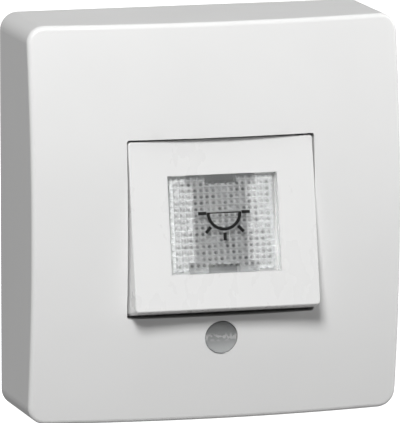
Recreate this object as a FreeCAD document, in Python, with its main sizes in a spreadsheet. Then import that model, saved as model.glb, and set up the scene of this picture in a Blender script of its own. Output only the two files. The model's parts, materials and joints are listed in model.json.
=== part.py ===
import FreeCAD, Part
import math
import operator
import os

import Sketcher
from FreeCAD import Placement, Rotation, Vector

# Surface-mounted push switch with a top-hinged rocker, a clear symbol window and a pilot lens.
# Millimetres. X runs to the right, Z up, and the front faces -Y. The wall is the plane Y = 0,
# and the origin is the middle of the back. A height is a distance out from the wall, so Y = -height.

SIZES = {
    # Hood: one moulded cover with a face that is crowned both ways
    "hood_width": 80.0,
    "hood_height": 84.0,
    "hood_edge_depth": 22.6,
    "crown_rise": 4.15,
    "hood_corner_radius": 3.75,
    "hood_edge_radius": 1.1,
    "hood_wall": 2.3,
    "face_wall": 2.4,
    "opening_width": 40.5,
    "opening_height": 37.7,
    "opening_drop": 0.65,
    "opening_corner_radius": 0.6,
    "collar_wall": 1.2,
    "collar_gap": 0.4,
    "hood_rib_thickness": 1.2,
    "hood_rib_offset": 12.0,
    "hood_rib_rise": 19.0,
    "lug_spacing": 44.0,
    "lug_width": 8.0,
    "lug_rise": 0.9,
    "lug_length": 2.4,
    "lug_height": 5.4,
    "notch_width": 12.0,
    "notch_depth": 1.5,
    # Pilot lens in the hood, below the rocker
    "lens_drop": 24.1,
    "lens_radius": 3.5,
    "lens_clearance": 0.06,
    "lens_flange_width": 0.5,
    "lens_flange_thickness": 1.2,
    "lens_flange_depth": 3.6,
    "lens_tail_radius": 3.2,
    "lens_length": 8.4,
    "lens_roof_depth": 2.4,
    "lens_boss_wall": 0.9,
    "lens_boss_length": 6.0,
    "lens_bevel": 0.25,
    # Base plate on the wall
    "base_gap": 0.3,
    "base_floor": 2.2,
    "base_rim_wall": 1.6,
    "base_rim_height": 8.0,
    "base_corner_radius": 2.0,
    "cable_opening_margin": 2.4,
    "cable_opening_height": 30.0,
    "cable_opening_radius": 3.0,
    "wall_hole_spacing_x": 40.0,
    "wall_hole_spacing_z": 60.0,
    "wall_slot_length": 9.0,
    "wall_slot_width": 4.4,
    "snap_window_margin": 0.3,
    "post_radius": 3.6,
    # Switch insert: moulded box and its cover
    "box_inset": 1.0,
    "box_height": 38.0,
    "box_gap": 1.2,
    "box_depth": 8.0,
    "box_floor": 1.4,
    "box_corner_radius": 1.2,
    "cover_thickness": 1.6,
    "frame_screw_inset": 3.0,
    "frame_screw_radius": 0.95,
    "frame_screw_length": 9.0,
    "frame_screw_head_radius": 1.9,
    "frame_screw_head_height": 1.2,
    "frame_screw_clearance": 0.2,
    # Steel mounting strap and its two screws
    "strap_gap": 0.5,
    "strap_width": 40.0,
    "strap_thickness": 1.2,
    "strap_corner_radius": 3.0,
    "strap_flange": 2.4,
    "strap_screw_inset": 5.3,
    "strap_slot_length": 7.0,
    "strap_slot_width": 3.6,
    "strap_hole_inset": 6.0,
    "strap_hole_top": 12.0,
    "strap_hole_bottom": 18.2,
    "strap_screw_radius": 1.5,
    "strap_screw_length": 9.0,
    "strap_screw_head_radius": 3.0,
    "strap_screw_head_height": 2.0,
    # Hinge frame that carries the rocker
    "frame_side_gap": 0.25,
    "frame_thickness": 2.0,
    "frame_margin": 0.3,
    "ear_thickness": 2.0,
    "ear_inset": 8.95,
    "ear_radius": 2.1,
    "pin_radius": 1.0,
    "pin_overhang": 0.4,
    "pin_clearance": 0.05,
    # Rocker
    "rocker_side_gap": 0.3,
    "rocker_top_gap": 0.45,
    "rocker_sink": 2.15,
    "rocker_face_length": 35.4,
    "rocker_tilt": 10.3,
    "rocker_press_angle": 6.5,
    "rocker_face_wall": 2.0,
    "rocker_side_wall": 1.5,
    "rocker_end_wall": 1.4,
    "rocker_top_draft": 0.55,
    "rocker_rim_gap": 0.8,
    "rocker_corner_radius": 0.7,
    "rocker_edge_radius": 0.35,
    "hinge_below_top": 4.55,
    "hinge_behind_top": 5.25,
    "rocker_lug_gap": 0.3,
    "rocker_lug_thickness": 2.0,
    "rocker_lug_radius": 2.3,
    "lug_mouth_width": 1.7,
    "rib_width": 6.0,
    "rib_tip_radius": 1.6,
    "rib_tip_depth": 4.0,
    # Clear window let into the rocker
    "window_width": 23.6,
    "window_height": 20.5,
    "window_centre": 17.65,
    "window_gap": 0.06,
    "window_inset": 0.1,
    "window_plate": 1.8,
    "window_corner_radius": 0.4,
    "recess_floor": 1.3,
    "recess_frame": 1.2,
    "light_opening_width": 12.0,
    "latch_slot_width": 15.0,
    "latch_slot_height": 2.3,
    "latch_width": 6.8,
    "latch_thickness": 1.8,
    "latch_length": 2.4,
    "latch_hook_height": 0.4,
    "prism_pitch": 1.3,
    "prism_depth": 0.35,
    "prism_land": 0.1,
    "prism_columns": 16.0,
    "prism_rows": 14.0,
    # Plunger, spring and contacts
    "plunger_drop": 12.6,
    "plunger_radius": 4.0,
    "plunger_clearance": 0.05,
    "plunger_gap": 0.1,
    "plunger_flange_radius": 4.9,
    "plunger_flange_thickness": 0.9,
    "plunger_stop_gap": 0.1,
    "plunger_foot_radius": 3.5,
    "plunger_foot_length": 1.6,
    "plunger_bore_radius": 2.7,
    "plunger_head_wall": 3.2,
    "guide_wall": 0.95,
    "guide_length": 1.4,
    "chamber_gap": 0.4,
    "spring_radius": 2.1,
    "spring_wire_radius": 0.25,
    "spring_turns": 4.0,
    "spigot_radius": 1.6,
    "spigot_length": 1.2,
    "contact_thickness": 0.8,
    "contact_width": 4.8,
    "contact_shift": 1.0,
    "contact_tip_radius": 1.5,
    "contact_closing_gap": 0.06,
    "bridge_thickness": 0.6,
    "bridge_width": 3.6,
    "bridge_collar_radius": 4.8,
    "bridge_tip_height": 0.4,
    "bridge_tip_radius": 1.3,
    # Terminals
    "terminal_inset": 6.8,
    "terminal_rise": 9.5,
    "terminal_width": 6.6,
    "terminal_length": 7.0,
    "terminal_depth": 4.8,
    "terminal_gap": 0.4,
    "wire_hole_radius": 1.6,
    "wire_hole_shift": 1.1,
    "terminal_screw_radius": 1.25,
    "terminal_screw_head_radius": 2.2,
    "terminal_screw_head_height": 1.8,
    "terminal_screw_clearance": 0.2,
    "terminal_screw_end_gap": 0.1,
    # Shape of every screw's head and its cross recess
    "head_crown": 0.4,
    "head_bevel": 0.6,
    "drive_margin": 0.9,
    "drive_width": 0.7,
    "drive_depth": 0.8,
    # Glow lamps
    "lamp_radius": 2.5,
    "lamp_cap_radius": 3.0,
    "lamp_cap_length": 4.2,
    "lamp_length": 11.5,
    "lamp_clearance": 0.06,
    "holder_width": 12.0,
    "holder_height": 8.4,
    "holder_depth": 5.4,
    "holder_corner_radius": 1.0,
    "holder_socket_depth": 4.2,
    "lamp_pin_spacing": 5.2,
    "lamp_pin_radius": 0.6,
    "lamp_pin_length": 3.6,
    "lamp_pin_seat": 0.8,
    "lamp_pin_room": 0.6,
    "pilot_boss_wall": 1.2,
    "pilot_boss_length": 8.0,
    "pilot_socket_depth": 6.5,
    "pilot_lamp_length": 15.6,
    # Margin by which a cutting shape runs past the face that it opens
    "cut_margin": 2.0,
}

document = FreeCAD.newDocument("RockerSwitch")
sheet = document.addObject("Spreadsheet::Sheet", "Sizes")
for row, (alias, number) in enumerate(SIZES.items(), start=1):
    sheet.set("A%d" % row, alias)
    sheet.set("B%d" % row, str(number))
    sheet.setAlias("B%d" % row, alias)
document.recompute()


class Size:
    """A size worked out from the sheet: its value, and the formula that keeps it bound."""

    def __init__(self, value, formula):
        self.value = value
        self.formula = formula

    def __add__(self, other):
        return combine(operator.add, "+", self, other)

    def __radd__(self, other):
        return combine(operator.add, "+", other, self)

    def __sub__(self, other):
        return combine(operator.sub, "-", self, other)

    def __rsub__(self, other):
        return combine(operator.sub, "-", other, self)

    def __mul__(self, other):
        return combine(operator.mul, "*", self, other)

    def __rmul__(self, other):
        return combine(operator.mul, "*", other, self)

    def __truediv__(self, other):
        return combine(operator.truediv, "/", self, other)

    def __neg__(self):
        return combine(operator.sub, "-", 0, self)


def as_size(number):
    if isinstance(number, Size):
        return number
    return Size(float(number), repr(number))


def combine(action, sign, left, right):
    left = as_size(left)
    right = as_size(right)
    return Size(action(left.value, right.value), "(%s %s %s)" % (left.formula, sign, right.formula))


def sine(angle):
    return Size(math.sin(math.radians(angle.value)), "sin(%s)" % angle.formula)


def cosine(angle):
    return Size(math.cos(math.radians(angle.value)), "cos(%s)" % angle.formula)


def tangent(angle):
    return Size(math.tan(math.radians(angle.value)), "tan(%s)" % angle.formula)


def arcsine(ratio):
    return Size(math.degrees(math.asin(ratio.value)), "asin(%s)" % ratio.formula)


def root(number):
    return Size(math.sqrt(number.value), "sqrt(%s)" % number.formula)


class SheetSizes:
    """Reads each alias of the sheet as a bound size."""

    def __getattr__(self, alias):
        return Size(float(SIZES[alias]), "Sizes." + alias)


size = SheetSizes()


# Tools shared by the sub-parts

def bind(item, path, number):
    if isinstance(number, Size):
        item.setExpression(path, number.formula)
    else:
        item.setExpression(path, repr(float(number)))


def new_body(name):
    return document.addObject("PartDesign::Body", name)


def plane_of(body, role):
    return [item for item in body.Origin.OriginFeatures if item.Role == role][0]


def new_sketch(body, name, role, offset=0):
    """A sketch on one of the body's own planes, moved along the plane's normal."""
    sketch = body.newObject("Sketcher::SketchObject", name)
    sketch.AttachmentSupport = [(plane_of(body, role), "")]
    sketch.MapMode = "FlatFace"
    bind(sketch, "AttachmentOffset.Base.z", offset)
    return sketch


def front_sketch(body, name, height=0):
    """A sketch seen from the front, at a height above the wall: X to the right, Z up."""
    return new_sketch(body, name, "XZ_Plane", height)


def side_sketch(body, name, offset=0):
    """A sketch seen from the right: its first axis is Y and its second is Z."""
    return new_sketch(body, name, "YZ_Plane", offset)


def point_at(corner):
    return Vector(as_size(corner[0]).value, as_size(corner[1]).value, 0)


def fix_point(sketch, curve, end, corner, directions="XY"):
    for direction, number in zip("XY", corner):
        if direction not in directions:
            continue
        number = as_size(number)
        rule = Sketcher.Constraint("Distance" + direction, -1, 1, curve, end, number.value)
        bind(sketch, "Constraints[%d]" % sketch.addConstraint(rule), number)


def join(sketch, curve, end, other, other_end):
    sketch.addConstraint(Sketcher.Constraint("Coincident", curve, end, other, other_end))


def polygon(sketch, corners):
    first = sketch.GeometryCount
    count = len(corners)
    for here, there in zip(corners, corners[1:] + corners[:1]):
        sketch.addGeometry(Part.LineSegment(point_at(here), point_at(there)), False)
    for index, corner in enumerate(corners):
        join(sketch, first + index, 1, first + (index - 1) % count, 2)
        fix_point(sketch, first + index, 1, corner)


def rectangle(sketch, left, right, bottom, top):
    polygon(sketch, [(left, bottom), (right, bottom), (right, top), (left, top)])


def centred_rectangle(sketch, width, height, x=0, z=0):
    rectangle(sketch, x - width / 2, x + width / 2, z - height / 2, z + height / 2)


def circle(sketch, x, z, radius):
    ring = Part.Circle(point_at((x, z)), Vector(0, 0, 1), as_size(radius).value)
    curve = sketch.addGeometry(ring, False)
    fix_point(sketch, curve, 3, (x, z))
    rule = Sketcher.Constraint("Radius", curve, as_size(radius).value)
    bind(sketch, "Constraints[%d]" % sketch.addConstraint(rule), radius)


def slot(sketch, x, z, length, width):
    """A slot along the sketch's first axis, rounded at both ends."""
    radius = width / 2
    reach = (length - width) / 2
    centres = [x + reach, x - reach]
    arcs = []
    for centre, start in zip(centres, (-90, 90)):
        ring = Part.Circle(point_at((centre, z)), Vector(0, 0, 1), radius.value)
        bend = Part.ArcOfCircle(ring, math.radians(start), math.radians(start + 180))
        curve = sketch.addGeometry(bend, False)
        fix_point(sketch, curve, 3, (centre, z))
        arcs.append(curve)
    rule = Sketcher.Constraint("Radius", arcs[0], radius.value)
    bind(sketch, "Constraints[%d]" % sketch.addConstraint(rule), radius)
    for start_arc, end_arc, side in ((arcs[0], arcs[1], radius), (arcs[1], arcs[0], -radius)):
        start_x, end_x = (centres[0], centres[1]) if side is radius else (centres[1], centres[0])
        edge = Part.LineSegment(point_at((start_x, z + side)), point_at((end_x, z + side)))
        line = sketch.addGeometry(edge, False)
        sketch.addConstraint(Sketcher.Constraint("Tangent", start_arc, 2, line, 1))
        sketch.addConstraint(Sketcher.Constraint("Tangent", line, 2, end_arc, 1))


def arc_profile(sketch, start, end, centre, others):
    """A closed outline: an arc, anticlockwise from start to end, and straight runs through others.

    The arc's end is fixed along the first axis alone, because the arc settles the rest.
    """
    arms = [point_at(start) - point_at(centre), point_at(end) - point_at(centre)]
    angles = [math.atan2(arm.y, arm.x) for arm in arms]
    if angles[1] < angles[0]:
        angles[1] += 2 * math.pi
    ring = Part.Circle(point_at(centre), Vector(0, 0, 1), arms[0].Length)
    curve = sketch.addGeometry(Part.ArcOfCircle(ring, angles[0], angles[1]), False)
    fix_point(sketch, curve, 3, centre)
    fix_point(sketch, curve, 1, start)
    fix_point(sketch, curve, 2, end, "X")
    runs = [end] + others + [start]
    lines = []
    for here, there in zip(runs[:-1], runs[1:]):
        lines.append(sketch.addGeometry(Part.LineSegment(point_at(here), point_at(there)), False))
    join(sketch, curve, 2, lines[0], 1)
    join(sketch, curve, 1, lines[-1], 2)
    for line, following, corner in zip(lines, lines[1:], others):
        join(sketch, line, 2, following, 1)
        fix_point(sketch, line, 2, corner)


def add_feature(body, kind, sketch):
    feature = body.newObject("PartDesign::" + kind, sketch.Name + kind)
    feature.Profile = sketch
    return feature


def pad(body, sketch, length, both_ways=False, backwards=False):
    feature = add_feature(body, "Pad", sketch)
    bind(feature, "Length", length)
    feature.Midplane = both_ways
    feature.Reversed = backwards
    document.recompute()
    return feature


def pocket(body, sketch, depth=None, both_ways=False, forwards=False):
    """Cuts against the sketch's normal, or along it when forwards; with no depth, right through."""
    feature = add_feature(body, "Pocket", sketch)
    if depth is None:
        feature.Type = "ThroughAll"
    else:
        bind(feature, "Length", depth)
    feature.Midplane = both_ways
    feature.Reversed = forwards
    document.recompute()
    return feature


def revolve(body, sketch):
    feature = add_feature(body, "Revolution", sketch)
    feature.ReferenceAxis = (sketch, ["V_Axis"])
    feature.Angle = 360
    document.recompute()
    return feature


def round_edges(body, base, chosen, radius):
    names = ["Edge%d" % (index + 1) for index, edge in enumerate(base.Shape.Edges) if chosen(edge)]
    feature = body.newObject("PartDesign::Fillet", base.Name + "Round")
    feature.Base = (base, names)
    bind(feature, "Radius", radius)
    document.recompute()
    return feature


def runs_along(edge, direction):
    """Whether an edge is a straight one along a direction."""
    if edge.Curve.TypeId != "Part::GeomLine":
        return False
    return abs(edge.tangentAt(edge.FirstParameter).dot(direction)) > 0.9999


ALONG_X = Vector(1, 0, 0)
ALONG_Y = Vector(0, 1, 0)
ALONG_Z = Vector(0, 0, 1)
TINY = 0.01

SIDES = (("left", -1), ("right", 1))
parts = {}


def finish(node, item):
    """Names a finished piece, whose label is the name of its file."""
    item.Label = node
    parts[node] = item


# Places worked out from the sizes, shared by the pieces that meet there

apex_height = size.hood_edge_depth + 2 * size.crown_rise
half_width = size.hood_width / 2
half_height = size.hood_height / 2
crown_radius_x = (half_width * half_width + size.crown_rise * size.crown_rise) / (2 * size.crown_rise)
crown_radius_z = (half_height * half_height + size.crown_rise * size.crown_rise) / (2 * size.crown_rise)

opening_top = size.opening_height / 2 - size.opening_drop
opening_bottom = -size.opening_height / 2 - size.opening_drop

box_back = size.base_floor + size.box_gap
box_front = box_back + size.box_depth
box_inside = box_back + size.box_floor
strap_back = box_front + size.cover_thickness
strap_front = strap_back + size.strap_thickness
frame_front = strap_front + size.frame_thickness
collar_back = frame_front + size.collar_gap

strap_length = size.hood_width - 2 * (size.hood_wall + size.base_gap + size.base_rim_wall + size.strap_gap)
strap_screw_spacing = strap_length - 2 * size.strap_screw_inset
cable_opening_width = strap_screw_spacing - 2 * (size.post_radius + size.cable_opening_margin)
frame_width = size.opening_width - 2 * size.frame_side_gap
box_width = frame_width - 2 * size.box_inset
frame_screw_x = box_width / 2 - size.frame_screw_inset
frame_screw_z = size.box_height / 2 - size.frame_screw_inset
strap_hole_width = box_width - 2 * size.strap_hole_inset
terminal_offset = box_width / 2 - size.terminal_inset
contact_reach = terminal_offset - size.contact_shift

top_z =opening_top - size.rocker_top_gap
top_height = apex_height - size.rocker_sink
hinge_z = top_z - size.hinge_below_top
hinge_height = top_height - size.hinge_behind_top
tilt_sine = sine(size.rocker_tilt)
tilt_cosine = cosine(size.rocker_tilt)
rocker_width = size.opening_width - 2 * size.rocker_side_gap
ear_spacing = rocker_width - 2 * size.ear_inset
lug_inside =ear_spacing / 2 + size.ear_thickness + size.rocker_lug_gap

plunger_z = -size.plunger_drop
plunger_arm = hinge_z - plunger_z
plunger_travel = plunger_arm * tangent(size.rocker_press_angle)
rib_tip_height = hinge_height - size.rib_tip_depth
plunger_top = rib_tip_height - size.plunger_gap
flange_front = box_front - size.plunger_stop_gap
flange_back = flange_front - size.plunger_flange_thickness
bridge_back = flange_back - size.bridge_thickness
fixed_tip_front = bridge_back - size.bridge_tip_height - plunger_travel - size.contact_closing_gap

lens_z = -size.lens_drop
lamp_z = top_z - size.window_centre * tilt_cosine
lens_rise = 1 - (size.lens_drop * size.lens_drop) / (half_height * half_height)
lens_face = size.hood_edge_depth + size.crown_rise + size.crown_rise * lens_rise


def face_point(down, depth):
    """Height and Z of a point on the rocker's middle: a distance down its face, and a depth behind it."""
    height = top_height + down * tilt_sine - depth * tilt_cosine
    z = top_z - down * tilt_cosine - depth * tilt_sine
    return height, z


# Hood

def crowned_block(name, width, height, corner_radius, apex, edge_radius=None):
    """A block with rounded corners whose front is an arc along X, turned about an axis along X.

    The edge round its front stays sharp when it has no radius.
    """
    body = new_body(name)
    outline = front_sketch(body, name + "Outline")
    centred_rectangle(outline, width, height)
    block = pad(body, outline, apex + size.cut_margin)
    block = round_edges(body, block, lambda edge: runs_along(edge, ALONG_Y), corner_radius)

    crown = new_sketch(body, name + "Crown", "XY_Plane")
    reach = width / 2 + size.cut_margin
    fall = crown_radius_x - root(crown_radius_x * crown_radius_x - reach * reach)
    ends = -(apex - fall)
    beyond = -(apex + 2 * size.crown_rise + 2 * size.cut_margin)
    middle = (0, crown_radius_x - apex)
    arc_profile(crown, (-reach, ends), (reach, ends), middle, [(reach, beyond), (-reach, beyond)])
    axis_y = crown_radius_z - apex
    axis = crown.addGeometry(Part.LineSegment(point_at((-reach, axis_y)), point_at((reach, axis_y))), True)
    fix_point(crown, axis, 1, (-reach, axis_y))
    fix_point(crown, axis, 2, (reach, axis_y))
    document.recompute()
    cut = add_feature(body, "Groove", crown)
    cut.ReferenceAxis = (crown, ["Axis0"])
    bind(cut, "Angle", 2 * arcsine((height / 2 + size.cut_margin) / crown_radius_z))
    cut.Midplane = True
    document.recompute()

    if edge_radius is not None:
        lowest = max(edge.BoundBox.YMax for edge in cut.Shape.Edges if edge.BoundBox.YMax < -TINY)
        round_edges(body, cut, lambda edge: edge.BoundBox.YMax <= lowest + TINY, edge_radius)
    return body


def hood_hollow():
    """The space inside the hood, less the collar, boss and ribs that stand in it."""
    body = crowned_block("HoodHollow", size.hood_width - 2 * size.hood_wall,
                         size.hood_height - 2 * size.hood_wall, size.hood_corner_radius / 2,
                         apex_height - size.face_wall)
    collar = front_sketch(body, "CollarSpace", collar_back)
    centred_rectangle(collar, size.opening_width + 2 * size.collar_wall,
                      size.opening_height + 2 * size.collar_wall, 0, -size.opening_drop)
    pocket(body, collar, forwards=True)
    boss = front_sketch(body, "LensBossSpace", lens_face - size.lens_boss_length)
    circle(boss, 0, lens_z, size.lens_radius + size.lens_flange_width + size.lens_boss_wall)
    pocket(body, boss, forwards=True)
    inner = size.opening_width / 2 + size.collar_wall / 2
    for name, side in SIDES:
        ribs = front_sketch(body, "RibSpace_" + name, size.hood_rib_rise)
        for level in (-size.hood_rib_offset, size.hood_rib_offset):
            outer = half_width - size.hood_wall / 2
            ends = (side * inner, side * outer) if side > 0 else (side * outer, side * inner)
            rectangle(ribs, ends[0], ends[1], level - size.hood_rib_thickness / 2,
                      level + size.hood_rib_thickness / 2)
        pocket(body, ribs, forwards=True)
    return body


def make_hood():
    body = crowned_block("Hood", size.hood_width, size.hood_height, size.hood_corner_radius,
                         apex_height, size.hood_edge_radius)
    hollow = body.newObject("PartDesign::Boolean", "HoodInside")
    hollow.addObjects([hood_hollow()])
    hollow.Type = "Cut"
    document.recompute()

    opening = front_sketch(body, "RockerOpening")
    centred_rectangle(opening, size.opening_width, size.opening_height, 0, -size.opening_drop)
    through = pocket(body, opening, forwards=True)
    limit = size.opening_width.value / 2 + TINY

    def at_opening_corner(edge):
        middle = edge.CenterOfMass
        return (runs_along(edge, ALONG_Y) and abs(abs(middle.x) - limit) < 2 * TINY
                and opening_bottom.value - TINY < middle.z < opening_top.value + TINY)

    round_edges(body, through, at_opening_corner, size.opening_corner_radius)

    bore = front_sketch(body, "LensBore")
    circle(bore, 0, lens_z, size.lens_radius + size.lens_clearance)
    pocket(body, bore, forwards=True)
    seat = front_sketch(body, "LensSeat")
    circle(seat, 0, lens_z, size.lens_radius + size.lens_flange_width + size.lens_clearance)
    pocket(body, seat, lens_face - size.lens_flange_depth, forwards=True)

    wall_line = half_height - size.hood_wall
    for name, side in SIDES:
        lugs = side_sketch(body, "SnapLugs_" + name,
                           side * size.lug_spacing / 2 - size.lug_width / 2)
        for level in (1, -1):
            root_line = level * (wall_line + size.hood_wall / 2)
            polygon(lugs, [(-size.lug_height, root_line),
                           (-size.lug_height, level * wall_line),
                           (-size.lug_height - size.lug_length / 3, level * (wall_line - size.lug_rise)),
                           (-size.lug_height - size.lug_length, level * wall_line),
                           (-size.lug_height - size.lug_length, root_line)])
        pad(body, lugs, size.lug_width)

    notch = front_sketch(body, "ReleaseNotch")
    rectangle(notch, -size.notch_width / 2, size.notch_width / 2,
              -half_height - size.cut_margin, -half_height + size.hood_wall + TINY)
    pocket(body, notch, size.notch_depth, forwards=True)
    finish("hood", body)


# Base plate

def make_base_plate():
    body = new_body("BasePlate")
    width = size.hood_width - 2 * (size.hood_wall + size.base_gap)
    height = size.hood_height - 2 * (size.hood_wall + size.base_gap)
    outline = front_sketch(body, "BaseOutline")
    centred_rectangle(outline, width, height)
    block = pad(body, outline, size.base_rim_height)
    round_edges(body, block, lambda edge: runs_along(edge, ALONG_Y), size.base_corner_radius)
    tray = front_sketch(body, "BaseTray", size.base_floor)
    centred_rectangle(tray, width - 2 * size.base_rim_wall, height - 2 * size.base_rim_wall)
    pocket(body, tray, forwards=True)

    posts = front_sketch(body, "StrapPosts", size.base_floor / 2)
    for _, side in SIDES:
        circle(posts, side * strap_screw_spacing / 2, 0, size.post_radius)
    pad(body, posts, strap_back - size.base_floor / 2)
    boss = front_sketch(body, "PilotBoss", size.base_floor / 2)
    circle(boss, 0, lens_z, size.lamp_cap_radius + size.lamp_clearance + size.pilot_boss_wall)
    pad(body, boss, size.base_floor / 2 + size.pilot_boss_length)

    cable = front_sketch(body, "CableOpening")
    centred_rectangle(cable, cable_opening_width, size.cable_opening_height)
    hole = pocket(body, cable, size.base_floor + TINY, forwards=True)
    reach = cable_opening_width.value / 2

    def at_cable_corner(edge):
        middle = edge.CenterOfMass
        return (runs_along(edge, ALONG_Y) and abs(abs(middle.x) - reach) < TINY
                and edge.Length < size.base_floor.value + TINY)

    round_edges(body, hole, at_cable_corner, size.cable_opening_radius)

    screws = front_sketch(body, "WallSlots")
    for _, side in SIDES:
        for _, level in SIDES:
            slot(screws, side * size.wall_hole_spacing_x / 2, level * size.wall_hole_spacing_z / 2,
                 size.wall_slot_length, size.wall_slot_width)
    pocket(body, screws, size.base_floor + TINY, forwards=True)

    threads = front_sketch(body, "PostHoles", strap_front - size.strap_screw_length)
    for _, side in SIDES:
        circle(threads, side * strap_screw_spacing / 2, 0, size.strap_screw_radius)
    pocket(body, threads, forwards=True)
    socket_top = size.base_floor + size.pilot_boss_length
    socket = front_sketch(body, "PilotSocket", socket_top - size.pilot_socket_depth)
    circle(socket, 0, lens_z, size.lamp_cap_radius + size.lamp_clearance)
    pocket(body, socket, forwards=True)

    for name, side in SIDES:
        windows = side_sketch(body, "SnapWindows_" + name,
                              side * size.lug_spacing / 2 - size.lug_width / 2 - size.snap_window_margin)
        for level in (1, -1):
            edge_line = level * (height / 2 + size.cut_margin)
            inner_line = level * (height / 2 - size.base_rim_wall - TINY)
            start = -(size.lug_height - size.snap_window_margin)
            end = -(size.lug_height + size.lug_length + size.snap_window_margin)
            polygon(windows, [(start, inner_line), (start, edge_line), (end, edge_line), (end, inner_line)])
        pocket(body, windows, size.lug_width + 2 * size.snap_window_margin, forwards=True)
    finish("base_plate", body)


# Screws

def screw_body(name, radius, length, head_radius, head_height):
    """A pan-head screw with a cross recess, its shank down along -Z from the origin."""
    body = new_body(name)
    profile = front_sketch(body, name + "Profile")
    polygon(profile, [(0, head_height), (head_radius - size.head_bevel, head_height),
                      (head_radius, head_height - size.head_crown), (head_radius, 0), (radius, 0),
                      (radius, -(length - radius)), (radius / 2, -length), (0, -length)])
    revolve(body, profile)
    reach = 2 * (head_radius - size.drive_margin)
    for arm, (long, wide) in enumerate(((1, 0), (0, 1))):
        recess = new_sketch(body, "%sRecess%d" % (name, arm), "XY_Plane", head_height)
        centred_rectangle(recess, long * reach + wide * size.drive_width,
                          wide * reach + long * size.drive_width)
        pocket(body, recess, size.drive_depth)
    return body


def place(body, x, height, z, turned=False):
    """Moves a body to its place, and turned swings its +Z round to face the front."""
    if turned:
        body.Placement = Placement(Vector(0, 0, 0), Rotation(ALONG_X, 90))
    for letter, number in (("x", x), ("y", -height), ("z", z)):
        bind(body, "Placement.Base." + letter, number)


def group(node, bodies):
    """Like pieces that share one node, each a solid of its own."""
    together = document.addObject("Part::Compound", node + "_group")
    together.Links = bodies
    document.recompute()
    finish(node, together)


def make_strap_screws():
    bodies = []
    for name, side in SIDES:
        body = screw_body("StrapScrew_" + name, size.strap_screw_radius, size.strap_screw_length,
                          size.strap_screw_head_radius, size.strap_screw_head_height)
        place(body, side * strap_screw_spacing / 2, strap_front, 0, turned=True)
        bodies.append(body)
    group("strap_screws", bodies)


def make_frame_screws():
    bodies = []
    for name, side in SIDES:
        for row, (_, level) in enumerate(SIDES):
            body = screw_body("FrameScrew_%s_%d" % (name, row), size.frame_screw_radius,
                              size.frame_screw_length, size.frame_screw_head_radius,
                              size.frame_screw_head_height)
            place(body, side * frame_screw_x, frame_front - size.frame_screw_head_height,
                  level * frame_screw_z, turned=True)
            bodies.append(body)
    group("frame_screws", bodies)


# Mounting strap

def make_mounting_strap():
    body = new_body("MountingStrap")
    outline = front_sketch(body, "StrapOutline", strap_back)
    centred_rectangle(outline, strap_length, size.strap_width)
    plate = pad(body, outline, size.strap_thickness)
    round_edges(body, plate, lambda edge: runs_along(edge, ALONG_Y), size.strap_corner_radius)
    for name, side in SIDES:
        flange = front_sketch(body, "StrapFlange_" + name, strap_back - size.strap_flange)
        edge = side * strap_length / 2
        inner = edge - side * size.strap_thickness
        ends = (inner, edge) if side > 0 else (edge, inner)
        reach = size.strap_width / 2 - size.strap_corner_radius
        rectangle(flange, ends[0], ends[1], -reach, reach)
        pad(body, flange, size.strap_flange + size.strap_thickness / 2)
    hole = front_sketch(body, "StrapHole")
    rectangle(hole, -strap_hole_width / 2, strap_hole_width / 2,
              -size.strap_hole_bottom, size.strap_hole_top)
    pocket(body, hole, forwards=True)
    slots = front_sketch(body, "StrapSlots")
    for _, side in SIDES:
        slot(slots, side * strap_screw_spacing / 2, 0, size.strap_slot_length, size.strap_slot_width)
    pocket(body, slots, forwards=True)
    corners = front_sketch(body, "StrapScrewHoles")
    for _, side in SIDES:
        for _, level in SIDES:
            circle(corners, side * frame_screw_x, level * frame_screw_z,
                   size.frame_screw_radius + size.frame_screw_clearance)
    pocket(body, corners, forwards=True)
    finish("mounting_strap", body)


# Switch insert

contact_top = box_inside + size.contact_thickness
chamber_radius = size.plunger_flange_radius + size.chamber_gap
contact_outer = contact_reach + size.contact_width / 2
contact_inner = contact_reach - size.contact_width / 2
terminal_bottom = size.terminal_rise - size.terminal_length / 2
terminal_top = size.terminal_rise + size.terminal_length / 2
wire_z = size.terminal_rise - size.wire_hole_shift


def mirrored(side, near, far):
    """The two ends of a span on the left or the right, in rising order."""
    return (near, far) if side > 0 else (-far, -near)


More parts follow.
